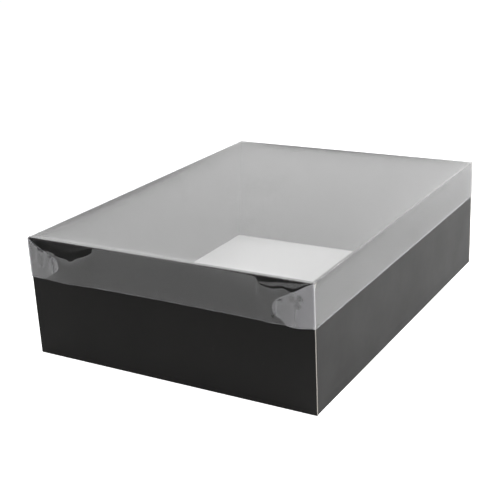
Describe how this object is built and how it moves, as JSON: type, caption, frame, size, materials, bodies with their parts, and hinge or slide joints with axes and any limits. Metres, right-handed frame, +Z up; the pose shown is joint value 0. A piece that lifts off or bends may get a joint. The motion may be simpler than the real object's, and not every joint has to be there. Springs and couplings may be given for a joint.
{
  "type": "shoe box",
  "caption": "Shallow rectangular shoe box: a black board tray with a white floor, closed by a clear plastic lift-off lid whose corner tabs lock through slits.",
  "frame": {"origin": "centre of the tray's underside, on the surface that the box stands on", "axes": "+X along the short front face from left to right, +Y from the front to the back along the long side, +Z up"},
  "size_m": [0.251, 0.3408, 0.1],
  "materials": {
    "clear_film": "gloss",
    "black_board": "satin",
    "white_board": "matte"
  },
  "bodies": {
    "tray": {"tray_bottom_panel": "white_board", "tray_outer_wall_left": "black_board", "tray_outer_wall_right": "black_board", "tray_rim_left": "black_board", "tray_rim_right": "black_board", "tray_inner_wall_left": "black_board", "tray_inner_wall_right": "black_board", "tray_outer_panel_front": "black_board", "tray_outer_panel_back": "black_board", "tray_rim_front": "black_board", "tray_rim_back": "black_board", "tray_inner_panel_front": "black_board", "tray_inner_panel_back": "black_board", "tray_flap_front_left": "black_board", "tray_flap_front_right": "black_board", "tray_flap_back_left": "black_board", "tray_flap_back_right": "black_board"},
    "lid": {"lid_top_panel": "clear_film", "lid_skirt_front": "clear_film", "lid_skirt_back": "clear_film", "lid_skirt_left": "clear_film", "lid_skirt_right": "clear_film", "lid_tab_front_left": "clear_film", "lid_tab_front_right": "clear_film", "lid_tab_back_left": "clear_film", "lid_tab_back_right": "clear_film"}
  },
  "joints": [
    {"name": "lid_lift", "type": "slide", "parent": "tray", "child": "lid", "axis": [0, 0, 1], "range_m": [0, 0.12]}
  ]
}
